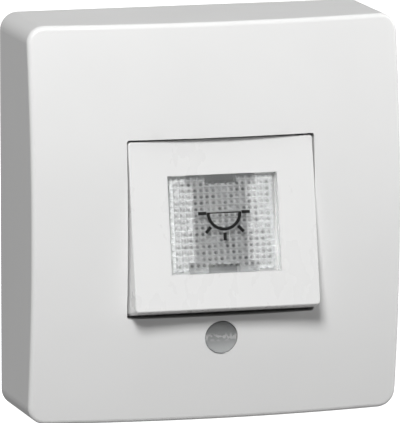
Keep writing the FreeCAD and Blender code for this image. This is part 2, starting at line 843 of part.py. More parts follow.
def make_switch_base():
    body = new_body("SwitchBase")
    outline = front_sketch(body, "BoxOutline", box_back)
    centred_rectangle(outline, box_width, size.box_height)
    block = pad(body, outline, size.box_depth)
    round_edges(body, block, lambda edge: runs_along(edge, ALONG_Y), size.box_corner_radius)
    chamber = front_sketch(body, "PlungerChamber", box_inside)
    circle(chamber, 0, plunger_z, chamber_radius)
    pocket(body, chamber, forwards=True)
    channel = front_sketch(body, "BridgeChannel", box_inside)
    reach = contact_outer + size.terminal_gap
    rectangle(channel, -reach, reach, plunger_z - size.bridge_width / 2 - size.terminal_gap,
              plunger_z + size.bridge_width / 2 + size.terminal_gap)
    pocket(body, channel, forwards=True)
    for name, side in SIDES:
        run = front_sketch(body, "ContactChannel_" + name, box_inside)
        left, right = mirrored(side, contact_inner - size.terminal_gap, contact_outer + size.terminal_gap)
        rectangle(run, left, right, plunger_z - size.bridge_width / 2 - size.terminal_gap, terminal_bottom)
        pocket(body, run, forwards=True)
        room = front_sketch(body, "TerminalChamber_" + name, box_inside)
        near = terminal_offset - size.terminal_width / 2 - size.terminal_gap
        far = terminal_offset + size.terminal_width / 2 + size.terminal_gap
        left, right = mirrored(side, near, far)
        rectangle(room, left, right, terminal_bottom - size.terminal_gap, terminal_top + size.terminal_gap)
        pocket(body, room, forwards=True)
        access = new_sketch(body, "ScrewAccess_" + name, "XY_Plane", size.box_height / 2)
        middle = contact_top + size.terminal_depth / 2
        circle(access, side * terminal_offset, -middle,
               size.terminal_screw_head_radius + size.terminal_screw_clearance)
        pocket(body, access, size.box_height / 2 - terminal_top)
    wires = front_sketch(body, "WireEntries")
    for _, side in SIDES:
        circle(wires, side * terminal_offset, wire_z, size.wire_hole_radius)
    pocket(body, wires, box_inside + TINY, forwards=True)
    pins = front_sketch(body, "PinRoom", box_front - size.lamp_pin_length)
    room = 2 * (size.lamp_pin_radius + size.lamp_pin_room)
    centred_rectangle(pins, size.lamp_pin_spacing + room, room, 0, lamp_z)
    pocket(body, pins, forwards=True)
    spigot = front_sketch(body, "SpringSpigot", box_inside - size.box_floor / 2)
    circle(spigot, 0, plunger_z, size.spigot_radius)
    pad(body, spigot, size.box_floor / 2 + size.spigot_length)
    screw_end = frame_front - size.frame_screw_head_height - size.frame_screw_length
    threads = front_sketch(body, "BoxScrewHoles", screw_end)
    for _, side in SIDES:
        for _, level in SIDES:
            circle(threads, side * frame_screw_x, level * frame_screw_z,
                   size.frame_screw_radius)
    pocket(body, threads, forwards=True)
    finish("switch_base", body)


def make_switch_cover():
    body = new_body("SwitchCover")
    outline = front_sketch(body, "CoverOutline", box_front)
    centred_rectangle(outline, box_width, size.box_height)
    plate = pad(body, outline, size.cover_thickness)
    round_edges(body, plate, lambda edge: runs_along(edge, ALONG_Y), size.box_corner_radius)
    bore_radius = size.plunger_radius + size.plunger_clearance
    guide = front_sketch(body, "PlungerGuide", box_front + size.cover_thickness / 2)
    circle(guide, 0, plunger_z, bore_radius + size.guide_wall)
    pad(body, guide, size.cover_thickness / 2 + size.guide_length)
    bore = front_sketch(body, "PlungerBore")
    circle(bore, 0, plunger_z, bore_radius)
    pocket(body, bore, forwards=True)
    holes = front_sketch(body, "CoverHoles")
    for _, side in SIDES:
        circle(holes, side * size.lamp_pin_spacing / 2, lamp_z, size.lamp_pin_radius + size.lamp_clearance)
        for _, level in SIDES:
            circle(holes, side * frame_screw_x, level * frame_screw_z,
                   size.frame_screw_radius + size.frame_screw_clearance)
    pocket(body, holes, forwards=True)
    finish("switch_cover", body)


def make_fixed_contacts():
    for name, side in SIDES:
        body = new_body("FixedContact_" + name)
        strip = front_sketch(body, "ContactStrip_" + name, box_inside)
        inner = side * contact_inner
        outer = side * contact_outer
        pad_outer = side * (terminal_offset + size.terminal_width / 2)
        bottom = plunger_z - size.bridge_width / 2
        polygon(strip, [(inner, bottom), (outer, bottom), (outer, terminal_bottom),
                        (pad_outer, terminal_bottom), (pad_outer, terminal_top), (inner, terminal_top)])
        pad(body, strip, size.contact_thickness)
        tip = front_sketch(body, "ContactTip_" + name, box_inside + size.contact_thickness / 2)
        circle(tip, side * contact_reach, plunger_z, size.contact_tip_radius)
        pad(body, tip, fixed_tip_front - box_inside - size.contact_thickness / 2)
        wire = front_sketch(body, "ContactWireHole_" + name)
        circle(wire, side * terminal_offset, wire_z, size.wire_hole_radius)
        pocket(body, wire, forwards=True)
        finish("fixed_contact_" + name, body)


def make_terminals():
    for name, side in SIDES:
        body = new_body("TerminalClamp_" + name)
        outline = front_sketch(body, "ClampOutline_" + name, contact_top)
        centred_rectangle(outline, size.terminal_width, size.terminal_length,
                          side * terminal_offset, size.terminal_rise)
        block = pad(body, outline, size.terminal_depth)
        round_edges(body, block, lambda edge: runs_along(edge, ALONG_Z), size.terminal_gap)
        wire = front_sketch(body, "ClampWireHole_" + name)
        circle(wire, side * terminal_offset, wire_z, size.wire_hole_radius)
        pocket(body, wire, forwards=True)
        middle = contact_top + size.terminal_depth / 2
        thread = new_sketch(body, "ClampThread_" + name, "XY_Plane", terminal_top)
        circle(thread, side * terminal_offset, -middle, size.terminal_screw_radius)
        pocket(body, thread, terminal_top - wire_z)
        finish("terminal_clamp_" + name, body)

        screw = screw_body("TerminalScrew_" + name, size.terminal_screw_radius,
                           terminal_top - wire_z - size.wire_hole_radius - size.terminal_screw_end_gap,
                           size.terminal_screw_head_radius, size.terminal_screw_head_height)
        place(screw, side * terminal_offset, middle, terminal_top)
        finish("terminal_screw_" + name, screw)


# Hinge frame and pin

def make_hinge_frame():
    body = new_body("HingeFrame")
    outline = front_sketch(body, "FrameOutline", strap_front)
    centred_rectangle(outline, frame_width, size.strap_width)
    plate = pad(body, outline, size.frame_thickness)
    round_edges(body, plate, lambda edge: runs_along(edge, ALONG_Y), size.box_corner_radius)
    opening = front_sketch(body, "FrameOpening")
    reach = strap_hole_width / 2 + size.frame_margin
    rectangle(opening, -reach, reach, -size.strap_hole_bottom - size.frame_margin,
              hinge_z - size.ear_radius - size.frame_margin)
    pocket(body, opening, forwards=True)
    for name, side in SIDES:
        ear = side_sketch(body, "HingeEar_" + name,
                          side * (ear_spacing + size.ear_thickness) / 2 - size.ear_thickness / 2)
        foot = -(frame_front - size.frame_thickness / 2)
        arc_profile(ear, (-hinge_height, hinge_z + size.ear_radius),
                    (-hinge_height, hinge_z - size.ear_radius), (-hinge_height, hinge_z),
                    [(foot, hinge_z - size.ear_radius), (foot, hinge_z + size.ear_radius)])
        pad(body, ear, size.ear_thickness)
    bore = side_sketch(body, "PinBore")
    circle(bore, -hinge_height, hinge_z, size.pin_radius)
    pocket(body, bore, ear_spacing + 2 * size.ear_thickness + size.cut_margin, both_ways=True)
    holes = front_sketch(body, "FrameScrewHoles")
    seats = front_sketch(body, "FrameScrewSeats", frame_front - size.frame_screw_head_height)
    for _, side in SIDES:
        for _, level in SIDES:
            spot = (side * frame_screw_x, level * frame_screw_z)
            circle(holes, spot[0], spot[1], size.frame_screw_radius + size.frame_screw_clearance)
            circle(seats, spot[0], spot[1], size.frame_screw_head_radius + size.frame_screw_clearance)
    pocket(body, holes, forwards=True)
    pocket(body, seats, size.frame_screw_head_height + TINY, forwards=True)
    finish("hinge_frame", body)


def make_hinge_pin():
    body = new_body("HingePin")
    section = side_sketch(body, "PinSection")
    circle(section, -hinge_height, hinge_z, size.pin_radius)
    pad(body, section, 2 * (lug_inside + size.rocker_lug_thickness + size.pin_overhang), both_ways=True)
    finish("hinge_pin", body)


# Rocker

def face_sketch(body, name, depth=0):
    """A sketch on the rocker's tilted face, or behind it by a depth, with its origin at the top edge."""
    sketch = body.newObject("Sketcher::SketchObject", name)
    sketch.AttachmentSupport = [(plane_of(body, "XZ_Plane"), "")]
    sketch.MapMode = "FlatFace"
    sketch.AttachmentOffset = Placement(Vector(0, 0, 0), Rotation(Vector(-1, 0, 0), size.rocker_tilt.value))
    height, z = face_point(0, depth)
    bind(sketch, "AttachmentOffset.Base.y", z)
    bind(sketch, "AttachmentOffset.Base.z", height)
    bind(sketch, "AttachmentOffset.Rotation.Angle", size.rocker_tilt)
    return sketch


press_slope = tangent(size.rocker_press_angle)
bottom_height, bottom_z = face_point(size.rocker_face_length, 0)
sweep_radius = root((bottom_height - hinge_height) * (bottom_height - hinge_height)
                    + (hinge_z - bottom_z) * (hinge_z - bottom_z))
rim_height = frame_front + size.rocker_rim_gap
rim_bottom_height = rim_height + sweep_radius * press_slope
rim_top_z = top_z - size.rocker_top_draft
rim_top_height = rim_height - (rim_top_z - hinge_z) * press_slope


def make_rocker():
    body = new_body("Rocker")
    profile = side_sketch(body, "RockerProfile")
    arc_profile(profile, (-bottom_height, bottom_z), (-rim_bottom_height, hinge_z - sweep_radius),
                (-hinge_height, hinge_z), [(-rim_top_height, rim_top_z), (-top_height, top_z)])
    block = pad(body, profile, rocker_width, both_ways=True)
    edge_x = rocker_width.value / 2

    def at_side_end(edge):
        box = edge.BoundBox
        at_side = abs(abs(box.Center.x) - edge_x) < TINY and box.XLength < TINY
        at_top = box.ZMin > hinge_z.value and box.YLength > 1
        at_bottom = edge.Curve.TypeId == "Part::GeomCircle"
        return at_side and box.ZLength < box.YLength and (at_top or at_bottom)

    block = round_edges(body, block, at_side_end, size.rocker_corner_radius)
    normal = Vector(0, -tilt_cosine.value, tilt_sine.value)
    corner = Vector(0, -top_height.value, top_z.value)

    def on_face(edge):
        ends = [vertex.Point for vertex in edge.Vertexes]
        return all(abs((point - corner).dot(normal)) < TINY for point in ends)

    round_edges(body, block, on_face, size.rocker_edge_radius)

    inner_top = face_point(size.rocker_end_wall, size.rocker_face_wall)
    inner_bottom = face_point(size.rocker_face_length - size.rocker_end_wall, size.rocker_face_wall)
    cavity = side_sketch(body, "RockerCavity")
    inner_radius = sweep_radius - size.rocker_end_wall
    arc_profile(cavity, (-inner_bottom[0], inner_bottom[1]),
                (-(rim_bottom_height - size.cut_margin), hinge_z - inner_radius),
                (-hinge_height, hinge_z),
                [(-(rim_top_height - size.cut_margin), rim_top_z - size.rocker_end_wall),
                 (-inner_top[0], inner_top[1])])
    pocket(body, cavity, rocker_width - 2 * size.rocker_side_wall, both_ways=True)

    recess_depth = size.window_plate + size.window_inset
    back = face_sketch(body, "RecessBacking", size.rocker_face_wall / 2)
    centred_rectangle(back, size.window_width + 2 * size.recess_frame,
                      size.window_height + 2 * size.recess_frame, 0, -size.window_centre)
    pad(body, back, recess_depth + size.recess_floor - size.rocker_face_wall / 2, backwards=True)
    recess = face_sketch(body, "WindowRecess")
    centred_rectangle(recess, size.window_width + 2 * size.window_gap,
                      size.window_height + 2 * size.window_gap, 0, -size.window_centre)
    pocket(body, recess, recess_depth)
    light = face_sketch(body, "LightOpening", recess_depth)
    centred_rectangle(light, size.light_opening_width, size.window_height, 0, -size.window_centre)
    pocket(body, light, size.recess_floor + size.cut_margin)
    slots = face_sketch(body, "LatchSlots", recess_depth)
    for level in (1, -1):
        offset = size.window_height / 2 + size.window_gap - size.latch_slot_height / 2
        centred_rectangle(slots, size.latch_slot_width, size.latch_slot_height, 0,
                          -size.window_centre + level * offset)
    pocket(body, slots, size.recess_floor + size.cut_margin)

    rib = side_sketch(body, "ActuatorRib")
    rib_foot = top_height + (top_z - plunger_z) * tangent(size.rocker_tilt) - size.rocker_face_wall / 2
    tip_centre = rib_tip_height + size.rib_tip_radius
    arc_profile(rib, (-tip_centre, plunger_z - size.rib_tip_radius),
                (-tip_centre, plunger_z + size.rib_tip_radius), (-tip_centre, plunger_z),
                [(-rib_foot, plunger_z + size.rib_tip_radius),
                 (-rib_foot, plunger_z - size.rib_tip_radius)])
    pad(body, rib, size.rib_width, both_ways=True)

    lug_foot = top_height + size.hinge_below_top * tangent(size.rocker_tilt) - size.rocker_face_wall / 2
    for name, side in SIDES:
        near = lug_inside if side > 0 else -lug_inside - size.rocker_lug_thickness
        lug = side_sketch(body, "HingeLug_" + name, near)
        lug_end = -(hinge_height - size.rocker_lug_radius)
        rectangle(lug, -lug_foot, lug_end, hinge_z - size.rocker_lug_radius,
                  hinge_z + size.rocker_lug_radius)
        pad(body, lug, size.rocker_lug_thickness)
    span = 2 * (lug_inside + size.rocker_lug_thickness) + TINY
    bore = side_sketch(body, "LugBore")
    circle(bore, -hinge_height, hinge_z, size.pin_radius + size.pin_clearance)
    pocket(body, bore, span, both_ways=True)
    mouth = side_sketch(body, "LugMouth")
    rectangle(mouth, -hinge_height, -(hinge_height - size.rocker_lug_radius - size.cut_margin),
              hinge_z - size.lug_mouth_width / 2, hinge_z + size.lug_mouth_width / 2)
    pocket(body, mouth, span, both_ways=True)
    finish("rocker", body)


def make_window():
    """The window is drawn upright, its face on the plane Y = 0 and its back towards +Y."""
    body = new_body("Window")
    outline = front_sketch(body, "WindowOutline")
    centred_rectangle(outline, size.window_width, size.window_height)
    plate = pad(body, outline, size.window_plate, backwards=True)
    round_edges(body, plate, lambda edge: runs_along(edge, ALONG_Y), size.window_corner_radius)
    open_half = (size.prism_pitch - size.prism_land) / 2
    grid = (("Column", "XY_Plane", size.prism_columns, size.prism_rows, "X_Axis"),
            ("Row", "YZ_Plane", size.prism_rows, size.prism_columns, "Z_Axis"))
    for name, role, count, across, axis in grid:
        groove = new_sketch(body, name + "Groove", role)
        start = -count / 2 * size.prism_pitch
        back = size.window_plate
        corners = [(start - open_half, back), (start + open_half, back), (start, back - size.prism_depth)]
        if role == "YZ_Plane":
            corners = [(deep, along) for along, deep in corners]
        polygon(groove, corners)
        cut = pocket(body, groove, (across + 1) * size.prism_pitch - size.prism_land, both_ways=True)
        rows = body.newObject("PartDesign::LinearPattern", name + "Grooves")
        rows.Originals = [cut]
        rows.Direction = (plane_of(body, axis), [""])
        bind(rows, "Occurrences", count + 1)
        bind(rows, "Length", count * size.prism_pitch)
        body.Tip = rows
        document.recompute()
    for name, level in (("top", 1), ("bottom", -1)):
        latch = side_sketch(body, "Latch_" + name)
        edge = level * size.window_height / 2
        inner = edge - level * size.latch_thickness
        start = size.window_plate - size.prism_depth - TINY
        end = size.window_plate + size.latch_length
        hook = edge + level * size.latch_hook_height
        hook_tip = end - size.latch_hook_height
        hook_start = end - 2 * size.latch_hook_height
        polygon(latch, [(start, edge), (hook_start, edge), (hook_tip, hook), (end, edge),
                        (end, inner), (start, inner)])
        pad(body, latch, size.latch_width, both_ways=True)
    body.Placement = Placement(Vector(0, 0, 0), Rotation(Vector(-1, 0, 0), size.rocker_tilt.value))
    bind(body, "Placement.Rotation.Angle", size.rocker_tilt)
    height, z = face_point(size.window_centre, size.window_inset)
    bind(body, "Placement.Base.y", -height)
    bind(body, "Placement.Base.z", z)
    document.recompute()
    finish("window_insert", body)


# Plunger, bridge and spring

def make_plunger():
    """Turned about the Y axis at the plunger's place; heights are measured out from the wall."""
    body = new_body("Plunger")
    foot = flange_back - size.plunger_foot_length
    bore_end = plunger_top - size.plunger_head_wall
    profile = front_sketch(body, "PlungerProfile")
    polygon(profile, [(size.plunger_bore_radius, foot), (size.plunger_foot_radius, foot),
                      (size.plunger_foot_radius, flange_back), (size.plunger_flange_radius, flange_back),
                      (size.plunger_flange_radius, flange_front), (size.plunger_radius, flange_front),
                      (size.plunger_radius, plunger_top), (0, plunger_top), (0, bore_end),
                      (size.plunger_bore_radius, bore_end)])
    revolve(body, profile)
    place(body, 0, 0, plunger_z, turned=True)
    finish("plunger", body)


def make_contact_bridge():
    body = new_body("ContactBridge")
    disc = front_sketch(body, "BridgeDisc", bridge_back)
    circle(disc, 0, plunger_z, size.bridge_collar_radius)
    pad(body, disc, size.bridge_thickness)
    arms = front_sketch(body, "BridgeArms", bridge_back)
    reach = contact_reach + size.contact_tip_radius
    centred_rectangle(arms, 2 * reach, size.bridge_width, 0, plunger_z)
    pad(body, arms, size.bridge_thickness)
    tips = front_sketch(body, "BridgeTips", bridge_back - size.bridge_tip_height)
    for _, side in SIDES:
        circle(tips, side * contact_reach, plunger_z, size.bridge_tip_radius)
    pad(body, tips, size.bridge_tip_height + size.bridge_thickness / 2)
    hole = front_sketch(body, "BridgeHole")
    circle(hole, 0, plunger_z, size.plunger_foot_radius)
    pocket(body, hole, forwards=True)
    finish("contact_bridge", body)


def make_return_spring():
    """A coil along Z from the origin, then laid along the plunger's axis. Its thin wire has six sides."""
    body = new_body("ReturnSpring")
    wire = front_sketch(body, "SpringWire")
    tall = size.spring_wire_radius
    wide = tall * root(as_size(0.75))
    corners = [(0, tall), (-wide, tall / 2), (-wide, -tall / 2),
               (0, -tall), (wide, -tall / 2), (wide, tall / 2)]
    polygon(wire, [(size.spring_radius + across, tall + up) for across, up in corners])
    coil = add_feature(body, "AdditiveHelix", wire)
    coil.ReferenceAxis = (wire, ["V_Axis"])
    coil.Mode = "pitch-height-angle"
    free_height = plunger_top - size.plunger_head_wall - box_inside - 2 * size.spring_wire_radius
    bind(coil, "Pitch", free_height / size.spring_turns)
    bind(coil, "Height", free_height)
    document.recompute()
    place(body, 0, box_inside, plunger_z, turned=True)
    finish("return_spring", body)


# Lamps and pilot lens

def lamp_body(name, length):
    """A small glow lamp: a round cap and a glass tube with a domed end, along +Z from the origin."""
    body = new_body(name)
    profile = front_sketch(body, name + "Profile")
    shoulder = length - size.lamp_radius
    arc_profile(profile, (size.lamp_radius, shoulder), (0, length), (0, shoulder),
                [(0, 0), (size.lamp_cap_radius, 0), (size.lamp_cap_radius, size.lamp_cap_length),
                 (size.lamp_radius, size.lamp_cap_length)])
    revolve(body, profile)
    return body


def make_lamps():
    holder = new_body("LampHolder")
    outline = front_sketch(holder, "HolderOutline", strap_back)
    centred_rectangle(outline, size.holder_width, size.holder_height, 0, lamp_z)
    block = pad(holder, outline, size.holder_depth)
    round_edges(holder, block, lambda edge: runs_along(edge, ALONG_Y), size.holder_corner_radius)
    socket_back = strap_back + size.holder_depth - size.holder_socket_depth
    socket = front_sketch(holder, "LampSocket", socket_back)
    circle(socket, 0, lamp_z, size.lamp_cap_radius + size.lamp_clearance)
    pocket(holder, socket, forwards=True)
    seats = front_sketch(holder, "PinSeats")
    for _, side in SIDES:
        circle(seats, side * size.lamp_pin_spacing / 2, lamp_z, size.lamp_pin_radius)
    pocket(holder, seats, strap_back + size.lamp_pin_seat, forwards=True)
    finish("lamp_holder", holder)

    pins = []
    for name, side in SIDES:
        pin = new_body("LampPin_" + name)
        section = front_sketch(pin, "PinSection_" + name, strap_back + size.lamp_pin_seat
                               - size.lamp_pin_length)
        circle(section, side * size.lamp_pin_spacing / 2, lamp_z, size.lamp_pin_radius)
        pad(pin, section, size.lamp_pin_length)
        pins.append(pin)
    group("lamp_pins", pins)

    lamp = lamp_body("GlowLamp", size.lamp_length)
    place(lamp, 0, socket_back, lamp_z, turned=True)
    finish("glow_lamp", lamp)

    pilot = lamp_body("PilotLamp", size.pilot_lamp_length)
    place(pilot, 0, size.base_floor + size.pilot_boss_length - size.pilot_socket_depth, lens_z, turned=True)
    finish("pilot_lamp", pilot)


def make_pilot_lens():
    """A clear stepped plug, flush with the hood's face, with a roof-shaped back that spreads the light."""
    body = new_body("PilotLens")
    profile = front_sketch(body, "LensProfile")
    flange_top = lens_face - size.lens_flange_depth
    flange_bottom = flange_top - size.lens_flange_thickness
    tail = lens_face - size.lens_length
    edge = size.lens_radius + size.lens_flange_width
    polygon(profile, [(0, tail), (size.lens_tail_radius, tail), (size.lens_tail_radius, flange_bottom),
                      (edge, flange_bottom), (edge, flange_top), (size.lens_radius, flange_top),
                      (size.lens_radius, lens_face - size.lens_bevel),
                      (size.lens_radius - size.lens_bevel, lens_face), (0, lens_face)])
    revolve(body, profile)
    roof = new_sketch(body, "LensRoof", "YZ_Plane")
    for level in (1, -1):
        reach = level * (size.lens_tail_radius + TINY)
        polygon(roof, [(0, tail - TINY), (reach, tail - TINY), (reach, tail + size.lens_roof_depth)])
    pocket(body, roof, 2 * size.lens_tail_radius + TINY, both_ways=True)
    place(body, 0, 0, lens_z, turned=True)
    finish("pilot_lens", body)


make_hood()
make_base_plate()
make_mounting_strap()
make_strap_screws()
make_switch_base()
make_switch_cover()
make_fixed_contacts()
make_terminals()
make_hinge_frame()
make_frame_screws()
make_hinge_pin()
make_lamps()
make_pilot_lens()
make_rocker()
make_window()
make_plunger()
make_contact_bridge()
make_return_spring()
document.recompute()

# Every object has to be sound before any file is written

faults = [item.Name for item in document.Objects if "Invalid" in item.State or "Error" in item.State]
for node, item in parts.items():
    if item.Shape.isNull() or not item.Shape.isValid():
        faults.append(node)
if faults:
    raise RuntimeError("unsound: " + ", ".join(faults))

os.makedirs("parts", exist_ok=True)
for node, item in parts.items():
    item.Shape.exportStep(os.path.join("parts", node + ".step"))
    print(node, len(item.Shape.Solids), round(item.Shape.Volume, 2))
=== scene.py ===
import json
import math

import bpy
from mathutils import Matrix, Vector


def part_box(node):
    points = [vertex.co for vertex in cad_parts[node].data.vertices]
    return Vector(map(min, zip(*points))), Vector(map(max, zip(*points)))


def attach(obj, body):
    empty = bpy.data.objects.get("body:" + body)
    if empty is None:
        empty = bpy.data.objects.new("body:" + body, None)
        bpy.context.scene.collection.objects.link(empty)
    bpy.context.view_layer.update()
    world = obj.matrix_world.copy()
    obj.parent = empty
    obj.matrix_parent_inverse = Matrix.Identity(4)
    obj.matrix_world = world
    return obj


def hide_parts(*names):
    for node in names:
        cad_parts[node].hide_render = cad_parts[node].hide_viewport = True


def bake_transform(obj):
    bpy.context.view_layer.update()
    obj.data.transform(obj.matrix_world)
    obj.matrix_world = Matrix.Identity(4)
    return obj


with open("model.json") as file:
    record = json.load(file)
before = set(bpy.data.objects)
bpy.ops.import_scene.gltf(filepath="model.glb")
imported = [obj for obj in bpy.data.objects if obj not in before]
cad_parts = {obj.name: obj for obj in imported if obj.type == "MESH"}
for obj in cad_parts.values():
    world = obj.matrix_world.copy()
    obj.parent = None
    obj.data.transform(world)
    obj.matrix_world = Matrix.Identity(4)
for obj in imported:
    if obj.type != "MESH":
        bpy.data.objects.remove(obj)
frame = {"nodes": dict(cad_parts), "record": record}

# Surface-mounted switch: finishes for its pieces, the printed lamp sign on its window, the return
# spring that the plunger presses together, and a studio.
# Metres, in the part's own frame: X to the right, Z up, the front faces -Y and the wall is Y = 0.

MM = 0.001
FACE_TILT = math.radians(10.3)
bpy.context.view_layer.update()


# Finishes

class Tone:
    """A number that varies over a surface, which can be added to, multiplied and so on."""

    def __init__(self, finish, socket):
        self.finish = finish
        self.socket = socket

    def math(self, operation, *values):
        return self.finish.node("Math", {"operation": operation}, dict(enumerate(values)))

    def __add__(self, other):
        return self.math("ADD", self, other)

    def __radd__(self, other):
        return self.math("ADD", other, self)

    def __sub__(self, other):
        return self.math("SUBTRACT", self, other)

    def __rsub__(self, other):
        return self.math("SUBTRACT", other, self)

    def __mul__(self, other):
        return self.math("MULTIPLY", self, other)

    def __rmul__(self, other):
        return self.math("MULTIPLY", other, self)

    def __truediv__(self, other):
        return self.math("DIVIDE", self, other)

    def __gt__(self, other):
        return self.math("GREATER_THAN", self, other)


class Finish:
    """A material in the making, with the shader whose sockets it feeds."""

    def __init__(self, name, **constants):
        self.material = bpy.data.materials.new(name)
        self.material.use_nodes = True
        self.tree = self.material.node_tree
        self.shader = self.tree.nodes["Principled BSDF"]
        for socket, number in constants.items():
            self.shader.inputs[socket.replace("_", " ")].default_value = number
        self.place = self.node("TexCoord", output="Object")

    def node(self, kind, settings=None, inputs=None, output=0):
        made = self.tree.nodes.new("ShaderNode" + kind)
        for setting, choice in (settings or {}).items():
            setattr(made, setting, choice)
        for socket, value in (inputs or {}).items():
            self.feed(made.inputs[socket], value)
        return Tone(self, made.outputs[output])

    def feed(self, socket, value):
        if isinstance(value, Tone):
            self.tree.links.new(value.socket, socket)
        else:
            socket.default_value = value

    def set(self, **tones):
        for socket, value in tones.items():
            self.feed(self.shader.inputs[socket.replace("_", " ")], value)

    def noise(self, scale, detail=2.0, stretch=None):
        place = self.place
        if stretch:
            place = self.node("Mapping", inputs={"Vector": place, "Scale": stretch})
        return self.node("TexNoise", inputs={"Vector": place, "Scale": scale, "Detail": detail})

    def ramp(self, value, low, high):
        """0 at low, 1 at high, and even between them."""
        return self.node("MapRange", inputs={"Value": value, "From Min": low, "From Max": high})

    def blend(self, share, first, second):
        colours = {0: share, 6: rgb(first), 7: rgb(second)}
        return self.node("Mix", {"data_type": "RGBA"}, colours, 2)

    def relief(self, height, depth, strength=1.0):
        levels = {"Height": height, "Distance": depth, "Strength": strength}
        return self.node("Bump", inputs=levels)

    def along(self, axis):
        return self.node("SeparateXYZ", inputs={0: self.place}, output=axis)


def rgb(colour):
    if isinstance(colour, Tone):
        return colour
    return (*colour, 1.0)


def shaded(colour, factor):
    return tuple(part * factor for part in colour)


CLOUD_SCALE = 38.0
CLOUD_RANGE = (0.3, 0.7)
CLOUD_SHADE = 0.975
CLOUD_RELIEF = 0.5
SPECK_SCALE = 520.0
SPECK_EDGE = (0.035, 0.015)
SPECK_PATCH_SCALE = 90.0
SPECK_PATCH_LEVEL = 0.58
SPECK_SHADE = 0.55
SPECK_STRENGTH = 0.35
RUBBING_SCALE = 160.0
RUBBING_STRETCH = (2.0, 2.0, 1.0)
MOULDED_ROUGHNESS_SWING = 0.05
MOULDED_COAT_ROUGHNESS = 0.08


def moulded(name, colour, roughness, skin, skin_depth, gloss=0.0):
    """Moulded plastic: faint flow clouding, stray specks, fine rubbing and a skin of its own depth."""
    finish = Finish(name, Coat_Weight=gloss, Coat_Roughness=MOULDED_COAT_ROUGHNESS)
    clouding = finish.noise(CLOUD_SCALE, 3.0)
    tint = finish.blend(finish.ramp(clouding, *CLOUD_RANGE), shaded(colour, CLOUD_SHADE), colour)
    speck = finish.node("TexVoronoi", inputs={"Vector": finish.place, "Scale": SPECK_SCALE},
                        output="Distance")
    mark = finish.ramp(speck, *SPECK_EDGE) * (finish.noise(SPECK_PATCH_SCALE) > SPECK_PATCH_LEVEL)
    finish.set(Base_Color=finish.blend(mark * SPECK_STRENGTH, tint, shaded(colour, SPECK_SHADE)))
    rubbing = finish.noise(RUBBING_SCALE, 4.0, RUBBING_STRETCH)
    finish.set(Roughness=roughness + (rubbing - 0.5) * MOULDED_ROUGHNESS_SWING
               + (clouding - 0.5) * MOULDED_ROUGHNESS_SWING)
    grain = finish.noise(skin, 2.0) + clouding * CLOUD_RELIEF
    finish.set(Normal=finish.relief(grain, skin_depth))
    return finish.material


LINE_SCALE = 260.0
LINE_RANGE = (0.62, 0.75)
LINE_SHADE = 0.7
LINE_STRENGTH = 0.4
LINE_ROUGHNESS_SWING = 0.25
LINE_DEPTH = 0.01 * MM
PATCH_SCALE = 120.0
PATCH_RANGE = (0.35, 0.7)
PATCH_SHADE = 0.82
PATCH_ROUGHNESS_SWING = 0.15


def plated(name, colour, roughness, lay):
    """Metal with the fine lines that rolling or drawing leaves, and duller patches."""
    finish = Finish(name, Metallic=1.0)
    lines = finish.noise(LINE_SCALE, 4.0, lay)
    patches = finish.noise(PATCH_SCALE, 3.0)
    tint = finish.blend(finish.ramp(patches, *PATCH_RANGE), shaded(colour, PATCH_SHADE), colour)
    lined = finish.ramp(lines, *LINE_RANGE) * LINE_STRENGTH
    finish.set(Base_Color=finish.blend(lined, tint, shaded(colour, LINE_SHADE)))
    finish.set(Roughness=roughness + (lines - 0.5) * LINE_ROUGHNESS_SWING
               + (patches - 0.5) * PATCH_ROUGHNESS_SWING)
    finish.set(Normal=finish.relief(lines, LINE_DEPTH))
    return finish.material


CLEAR_IOR = 1.49
CLEAR_ROUGHNESS = 0.02
HAZE_SCALE = 90.0
HAZE_ROUGHNESS = 0.04
BACK_ALPHA = 0.95
FRONT_SKIN = (0.5 * MM, 0.3 * MM)


def clear_plastic(name, clearness, tilt, front, front_alpha):
    """Clear moulded plastic: light passes its polished front, and the shaped back catches some of it.

    The front lies across a direction that is tilted up from -Y, at the given distance from the origin.
    """
    finish = Finish(name, Transmission_Weight=clearness, IOR=CLEAR_IOR)
    haze = finish.noise(HAZE_SCALE, 3.0)
    level = finish.along("Z") * math.sin(tilt) - finish.along("Y") * math.cos(tilt)
    near_front = finish.ramp(level, front - FRONT_SKIN[0], front - FRONT_SKIN[1])
    finish.set(Roughness=CLEAR_ROUGHNESS + haze * HAZE_ROUGHNESS)
    finish.set(Alpha=BACK_ALPHA - near_front * (BACK_ALPHA - front_alpha))
    return finish, haze, near_front


LENS_CLEARNESS = 0.6
LENS_FRONT = 30.3 * MM
LENS_FRONT_ALPHA = 0.2
LENS_DROP = 24.1 * MM
LENS_SHADE_RANGE = (1.5 * MM, -2.5 * MM)
LENS_RIDGE_RANGE = (1.0 * MM, 0.2 * MM)
# Painted shade for the lens above its ridge, and painted light below it
LENS_PAINTED_SHADE_ABOVE_RIDGE = (0.42, 0.43, 0.43)
LENS_PAINTED_LIGHT_BELOW_RIDGE = (0.94, 0.96, 0.96)
LENS_GLITTER_SCALE = 1500.0
LENS_SKIN_SCALE = 900.0
LENS_SKIN_DEPTH = 0.08 * MM
# Colour of the painted glints on the lens ridge and of the painted highlight spots on the window
# prisms
GLINT = (1.0, 1.0, 1.0)


